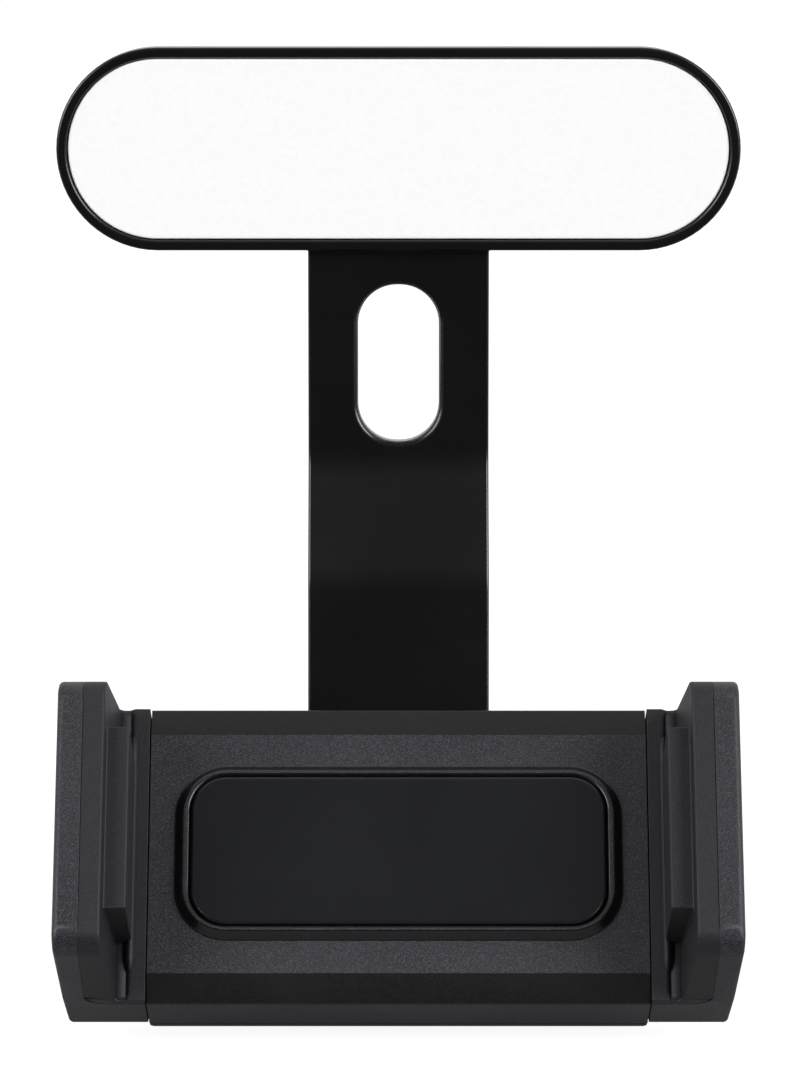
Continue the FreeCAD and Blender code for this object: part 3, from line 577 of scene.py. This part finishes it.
@dataclass
class CrossScrew:
    """Pan-head screws with a cross recess, their heads towards the back of the object.

    A turned profile has its top sunk by a cross. The crown, the recess, its bars and the thread are given as
    shares of the head's radius, the head's thickness and the shank's radius.
    """

    name: str
    plane: Plane
    places: list[tuple[float, float]]
    top: float
    head: float
    head_thick: float
    shank: float
    length: float
    pitch: float = 0.7
    columns: int = 48
    crown_rows: int = 12
    crown_share: float = 0.93
    crown_mm: float = 0.12
    rim_mm: float = 0.15
    point_mm: float = 0.6
    recess_share: float = 0.45
    bar_share: float = 0.16
    bar_edge: float = 1.6
    bar_reach: float = 0.62
    bar_fade: float = 0.12
    thread_rows: int = 40
    thread_share: float = 0.22

    def profile(self) -> tuple[np.ndarray, np.ndarray]:
        """Draw one half of the screw's section, from the crown's middle to the point.

        The crown falls as a parabola. Then come the head's edge, its underside, the shank and the point.

        Returns:
            The radius and the level of each row.
        """
        crown = np.linspace(0, self.crown_share, self.crown_rows) * self.head
        turns = np.linspace(0, self.length - self.head_thick, self.thread_rows)
        radius = np.concatenate([crown, [self.head, self.head, self.shank],
                                 np.full(self.thread_rows, self.shank), [0.0]])
        level = np.concatenate([self.crown_mm * (1 - (crown / self.head) ** 2),
                                [-self.rim_mm, -self.head_thick, -self.head_thick],
                                -self.head_thick - turns, [-self.length - self.point_mm]])
        return radius, level

    def build(self) -> bpy.types.Object:
        """Turn the profile about the axis, sink the cross, and repeat it at every place.

        The recess is deepest on two crossed bars that fade out past half of the head's radius, and the
        shank's radius rises and falls once in each pitch along a helix.

        Returns:
            One object with all the screws.
        """
        radius, level = self.profile()
        angle = np.linspace(0, 2 * math.pi, self.columns, endpoint=False)
        r, a = np.meshgrid(radius, angle, indexing="ij")
        h = np.repeat(level[:, None], self.columns, axis=1)
        bar = np.minimum(np.abs(r * np.cos(a)), np.abs(r * np.sin(a))) / (self.bar_share * self.head)
        fade = np.clip((self.bar_reach - r / self.head) / self.bar_fade, 0, 1)
        sunk = np.clip(self.bar_edge - bar, 0, 1) * fade
        row = np.arange(len(radius))[:, None]
        h = h - np.where(row < self.crown_rows, self.recess_share * self.head_thick * sunk, 0.0)
        thread = 0.5 + 0.5 * np.cos(2 * math.pi * h / self.pitch - a)
        last = len(radius) - 1
        threaded = (row >= last - self.thread_rows) & (row < last)
        r = r - np.where(threaded, self.thread_share * self.shank * thread, 0.0)
        faces = grid_faces(len(radius), self.columns)
        spots = [self.plane.points(u + r * np.cos(a), v + r * np.sin(a), self.top - h).reshape(-1, 3)
                 for u, v in self.places]
        shifted = [faces + i * r.size for i in range(len(spots))]
        return mesh_piece(self.name, np.concatenate(spots), np.concatenate(shifted))


@dataclass
class Ridge:
    """A half-round bar along a face, whose ends run out."""

    name: str
    plane: Plane
    across: float
    half_length: float = 13.0
    half_width: float = 0.6
    base: float = -0.45
    top: float = 0.85
    run_out: float = 2.0
    rows: int = 33
    columns: int = 24

    def build(self) -> bpy.types.Object:
        """Carry a half ellipse along the face and shrink it over the run-outs.

        The section's share is the square root of one less the square of how far a row is into its run-out.

        Returns:
            The closed bar.
        """
        along = self.half_length * np.sin(np.linspace(-math.pi / 2, math.pi / 2, self.rows))
        into = np.clip((np.abs(along) - self.half_length + self.run_out) / self.run_out, 0, 1)
        share = np.sqrt(1 - into ** 2)[:, None]
        angle = np.linspace(0, 2 * math.pi, self.columns, endpoint=False)[None]
        right = self.across + self.half_width * share * np.cos(angle)
        out = self.base + (self.top - self.base) * share * np.maximum(np.sin(angle), 0)
        points = self.plane.points(right, np.broadcast_to(along[:, None], right.shape), out)
        return mesh_piece(self.name, points.reshape(-1, 3), grid_faces(self.rows, self.columns))


@dataclass
class SignBoard:
    """Tray with its strip, and the bare white panel in it."""

    width: float = 74.6
    height: float = 22.1
    rim: float = 1.25
    edge: float = 0.3
    edge_steps: int = 4
    fold: float = 1.1
    panel_sunk: float = 0.3
    panel_thick: float = 1.5
    panel_edge: float = 0.2
    panel_end: float = 0.001
    panel_arc_steps: int = 40

    def build(self) -> None:
        """Round the moulding's edges and lay the panel in the tray."""
        SoftEdged("sign_bracket", SATIN_ABS, self.edge, self.edge_steps, fold_mm=self.fold).build()
        half = self.height / 2 - self.rim
        panel = Tablet("sign_panel", SIGN_FACE, self.width - 2 * self.rim, 2 * half, half - self.panel_end,
                       -self.panel_sunk - self.panel_thick, -self.panel_sunk, self.panel_edge,
                       self.panel_arc_steps)
        settle(panel.build(), "sign_insert", WHITE_PVC)


@dataclass
class VentClip:
    """Four-lobed rubber boot on its core, screwed to the tray."""

    boot_edge: float = 0.16

    def build(self) -> None:
        """Round the boot's edges and dress the rest."""
        SoftEdged("clip_boot", SILICONE, self.boot_edge, steps=2).build()
        paint("clip_core", FILLED_NYLON)
        paint("clip_screw", ZINC_STEEL)


@dataclass
class BallJoint:
    """Ball stud, its screw and the fluted collar."""

    stud_edge: float = 0.15
    collar_edge: float = 0.22
    screw_top: float = -2.5
    head: float = 2.4
    head_thick: float = 1.0
    shank: float = 1.25
    screw_length: float = 8.0

    def build(self) -> None:
        """Round the stud and the collar, and cut the screw."""
        SoftEdged("ball_stud", FILLED_NYLON, self.stud_edge, steps=2).build()
        SoftEdged("collar_nut", FILLED_NYLON, self.collar_edge, steps=2).build()
        screw = CrossScrew("stud_cross_screw", STUD_SEAT, [(0.0, 0.0)], self.screw_top, self.head,
                           self.head_thick, self.shank, self.screw_length)
        settle(screw.build(), "stud_screw", ZINC_STEEL)


@dataclass
class Cradle:
    """The clamp's two shells, the pad on its plinth and the four screws."""

    front_edge: float = 0.2
    rear_edge: float = 0.22
    end_seam: tuple[float, float] = (24.5, 30.0)
    pad_width: float = 43.15
    pad_height: float = 16.1
    pad_corner: float = 3.7
    pad_back: float = 0.15
    pad_front: float = 1.12
    pad_edge: float = 0.3
    screw_u: float = 21.6
    screw_v: float = 12.3
    screw_top: float = -12.9
    head: float = 1.75
    head_thick: float = 1.2
    shank: float = 0.85
    screw_length: float = 9.3
    screw_pitch: float = 0.6
    corners: tuple[tuple[int, int], ...] = ((1, 1), (-1, 1), (-1, -1), (1, -1))

    def build(self) -> None:
        """Round the shells, lay the pad and drive the screws."""
        # The front shell's slopes take a darker copy of its grain: painted shade.
        SoftEdged("front_housing", SPARK_ABS, self.front_edge, crisp=(self.end_seam,),
                  slope=SHADED_SLOPE_ABS).build()
        SoftEdged("rear_housing", SPARK_ABS, self.rear_edge, steps=2).build()
        pad = Tablet("smooth_pad", CLAMP_FACE, self.pad_width, self.pad_height, self.pad_corner,
                     self.pad_back, self.pad_front, self.pad_edge)
        settle(pad.build(), "front_pad", CAST_PU)
        places = [(a * self.screw_u, b * self.screw_v) for a, b in self.corners]
        screws = CrossScrew("housing_cross_screws", CLAMP_FACE, places, self.screw_top, self.head,
                            self.head_thick, self.shank, self.screw_length, self.screw_pitch)
        settle(screws.build(), "housing_screws", ZINC_STEEL)


@dataclass
class Jaw:
    """One sliding jaw: a grained shell and its soft liner, with a ridge and a cove at the liner's foot."""

    side: Side
    shell_edge: float = 0.5
    shell_turn: float = 35.0
    liner_edge: float = 0.2
    liner_share: float = 0.35
    liner_lip: float = 0.6
    body_seam: float = 26.5
    liner_seam: float = 32.6
    press: float = 0.17
    ridge_place: float = 27.75
    cove_place: float = 28.85
    cove_half_length: float = 15.9
    cove_half_width: float = 1.2
    cove_base: float = -1.2
    cove_top: float = -0.12
    cove_run_out: float = 0.3

    def build(self) -> None:
        """Round the edges of both layers and run the two bars along the liner's foot."""
        liner = self.side.value + "_liner"
        SoftEdged(self.side.value + "_jaw", SPARK_ABS, self.shell_edge, crisp=((0.0, self.liner_seam),),
                  press_mm=self.press, least_turn=self.shell_turn).build()
        seams = ((0.0, self.body_seam), (self.liner_seam - self.liner_lip, self.liner_seam))
        SoftEdged(liner, SOFT_TPE, self.liner_edge, crisp=seams, crisp_share=self.liner_share,
                  press_mm=self.press).build()
        ridge = Ridge(liner + "_ridge", CLAMP_FACE, self.side.sign() * self.ridge_place)
        dress(ridge.build(), liner, SOFT_TPE)
        cove = Ridge(liner + "_cove", CLAMP_FACE, self.side.sign() * self.cove_place, self.cove_half_length,
                     self.cove_half_width, self.cove_base, self.cove_top, self.cove_run_out)
        dress(cove.build(), liner, SOFT_TPE)


@dataclass
class Drive:
    """Gear, pin and springs inside the clamp."""

    springs: tuple[str, ...] = ("left_spring", "right_spring")

    def build(self) -> None:
        """Dress the pieces that the shells close in."""
        paint("pinion", ACETAL)
        paint("pinion_pin", ZINC_STEEL)
        for spring in self.springs:
            paint(spring, SPRING_WIRE)


@dataclass(frozen=True)
class Lamp:
    """A soft sun: its irradiance, and its angular size, height above the horizon and direction in degrees.

    A direction of 0 is from the camera's side, and a positive one is from the right.
    """

    name: str
    strength: float
    spread: float
    tip: float
    turn: float

    def hang(self) -> None:
        """Put the sun into the scene."""
        data = bpy.data.lights.new(self.name, "SUN")
        data.energy = self.strength
        data.angle = math.radians(self.spread)
        light = bpy.data.objects.new(self.name, data)
        light.rotation_euler = (math.radians(90 - self.tip), 0.0, math.radians(self.turn))
        bpy.context.scene.collection.objects.link(light)


def white_share(tree: bpy.types.NodeTree, mirrored: bpy.types.NodeSocket) -> bpy.types.NodeSocket:
    """Work out how much of the backdrop's white a ray is shown.

    Args:
        tree: node tree of the table or the room.
        mirrored: share that mirror and see-through rays are shown.
    Returns:
        That share for those rays, all of it for camera rays and none for the rest.
    """
    path = add(tree, "ShaderNodeLightPath").outputs
    mirror = add(tree, "ShaderNodeMath", {0: path["Is Glossy Ray"], 1: path["Is Transmission Ray"]},
                 operation="MAXIMUM")
    shown = add(tree, "ShaderNodeMath", {0: mirror.outputs["Value"], 1: mirrored}, operation="MULTIPLY")
    seen = add(tree, "ShaderNodeMath", {0: path["Is Camera Ray"], 1: shown.outputs["Value"]},
               operation="MAXIMUM")
    return seen.outputs["Value"]


@dataclass
class Studio:
    """White table and room, a soft sun on each side and one above, and the camera.

    To mirror rays the table's white fades in with the distance from the object, from the shade's reach to the
    clear reach.
    """

    eye: tuple[float, float, float] = (0.0, -0.55, 0.0335)
    pitch: float = 82.0
    lens: float = 166.63
    sensor: float = 36.0
    nearest: float = 0.01
    lamps: tuple[Lamp, ...] = (Lamp("left", 2.1, 35.0, 20.0, -50.0), Lamp("right", 2.77, 35.0, 20.0, 50.0),
                               Lamp("above", 0.25, 60.0, 85.0, 0.0))
    room_low: float = 0.06
    room_high: float = 0.19
    table_tone: str = "#a0a0a0"
    table_reach: float = 3.0
    table_near: float = -0.075
    table_drop: float = 0.0004
    lift: float = 0.9
    shade_reach: float = 0.09
    clear_reach: float = 0.25

    def floor(self) -> None:
        """Lay the pale table just under the object."""
        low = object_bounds()[0][2] - self.table_drop
        reach, near = self.table_reach, self.table_near
        mesh = bpy.data.meshes.new("table")
        corners = [(-reach, near, low), (reach, near, low), (reach, reach, low), (-reach, reach, low)]
        mesh.from_pydata(corners, [], [(0, 1, 2, 3)])
        mesh.materials.append(self.table_white())
        table = bpy.data.objects.new("table", mesh)
        bpy.context.scene.collection.objects.link(table)
        table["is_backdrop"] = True

    def table_white(self) -> bpy.types.Material:
        """Make a matt paper that keeps the object's shadow and is lifted to white in the picture.

        Returns:
            The table's material.
        """
        paper = bpy.data.materials.new("table_white")
        paper.use_nodes = True
        tree = paper.node_tree
        tree.nodes.clear()
        matt = add(tree, "ShaderNodeBsdfDiffuse", {"Color": linear(self.table_tone)})
        place = add(tree, "ShaderNodeTexCoord").outputs["Object"]
        away = add(tree, "ShaderNodeVectorMath", {0: place}, operation="LENGTH")
        clear = add(tree, "ShaderNodeMapRange", {"Value": away.outputs["Value"], "From Min": self.shade_reach,
                                                 "From Max": self.clear_reach})
        lift = add(tree, "ShaderNodeMath", {0: white_share(tree, clear.outputs["Result"]), 1: self.lift},
                   operation="MULTIPLY")
        glow = add(tree, "ShaderNodeEmission", {"Color": linear(WHITE), "Strength": lift.outputs["Value"]})
        both = add(tree, "ShaderNodeAddShader", {0: matt.outputs["BSDF"], 1: glow.outputs["Emission"]})
        add(tree, "ShaderNodeOutputMaterial", {"Surface": both.outputs["Shader"]})
        return paper

    def world(self) -> None:
        """Make a dim room in front of the object and a white backdrop behind it.

        The room's strength rises with height. The backdrop is white to the camera from everywhere, and to
        mirror and see-through rays that leave towards the back.
        """
        room = bpy.data.worlds.new("room")
        bpy.context.scene.world = room
        room.use_nodes = True
        tree = room.node_tree
        tree.nodes.clear()
        way = add(tree, "ShaderNodeSeparateXYZ",
                  {"Vector": add(tree, "ShaderNodeTexCoord").outputs["Generated"]})
        level = add(tree, "ShaderNodeMapRange", {"Value": way.outputs["Z"], "From Min": 0.1, "From Max": 0.6,
                                                 "To Min": self.room_low, "To Max": self.room_high})
        behind = add(tree, "ShaderNodeMapRange", {"Value": way.outputs["Y"], "From Min": 0.0,
                                                  "From Max": 0.3})
        dim = add(tree, "ShaderNodeBackground", {"Color": linear(WHITE), "Strength": level.outputs["Result"]})
        white = add(tree, "ShaderNodeBackground", {"Color": linear(WHITE), "Strength": 1.0})
        mix = add(tree, "ShaderNodeMixShader", {0: white_share(tree, behind.outputs["Result"]),
                                                1: dim.outputs["Background"], 2: white.outputs["Background"]})
        add(tree, "ShaderNodeOutputWorld", {"Surface": mix.outputs["Shader"]})

    def camera(self) -> None:
        """Stand the camera where the photograph was taken from."""
        data = bpy.data.cameras.new("camera")
        data.lens = self.lens
        data.sensor_width = self.sensor
        data.clip_start = self.nearest
        camera = bpy.data.objects.new("camera", data)
        camera.location = self.eye
        camera.rotation_euler = (math.radians(self.pitch), 0.0, 0.0)
        bpy.context.scene.collection.objects.link(camera)
        bpy.context.scene.camera = camera

    def build(self) -> None:
        """Set up the table, lights, room and camera."""
        self.floor()
        for lamp in self.lamps:
            lamp.hang()
        self.world()
        self.camera()
        bpy.context.scene.view_settings.view_transform = "Standard"


def main() -> None:
    """Build every sub-assembly and the studio."""
    parts = [SignBoard(), VentClip(), BallJoint(), Cradle(), Jaw(Side.LEFT), Jaw(Side.RIGHT), Drive(),
             Studio()]
    for part in parts:
        log.info("building %s", type(part).__name__)
        part.build()


if __name__ == "__main__":
    main()
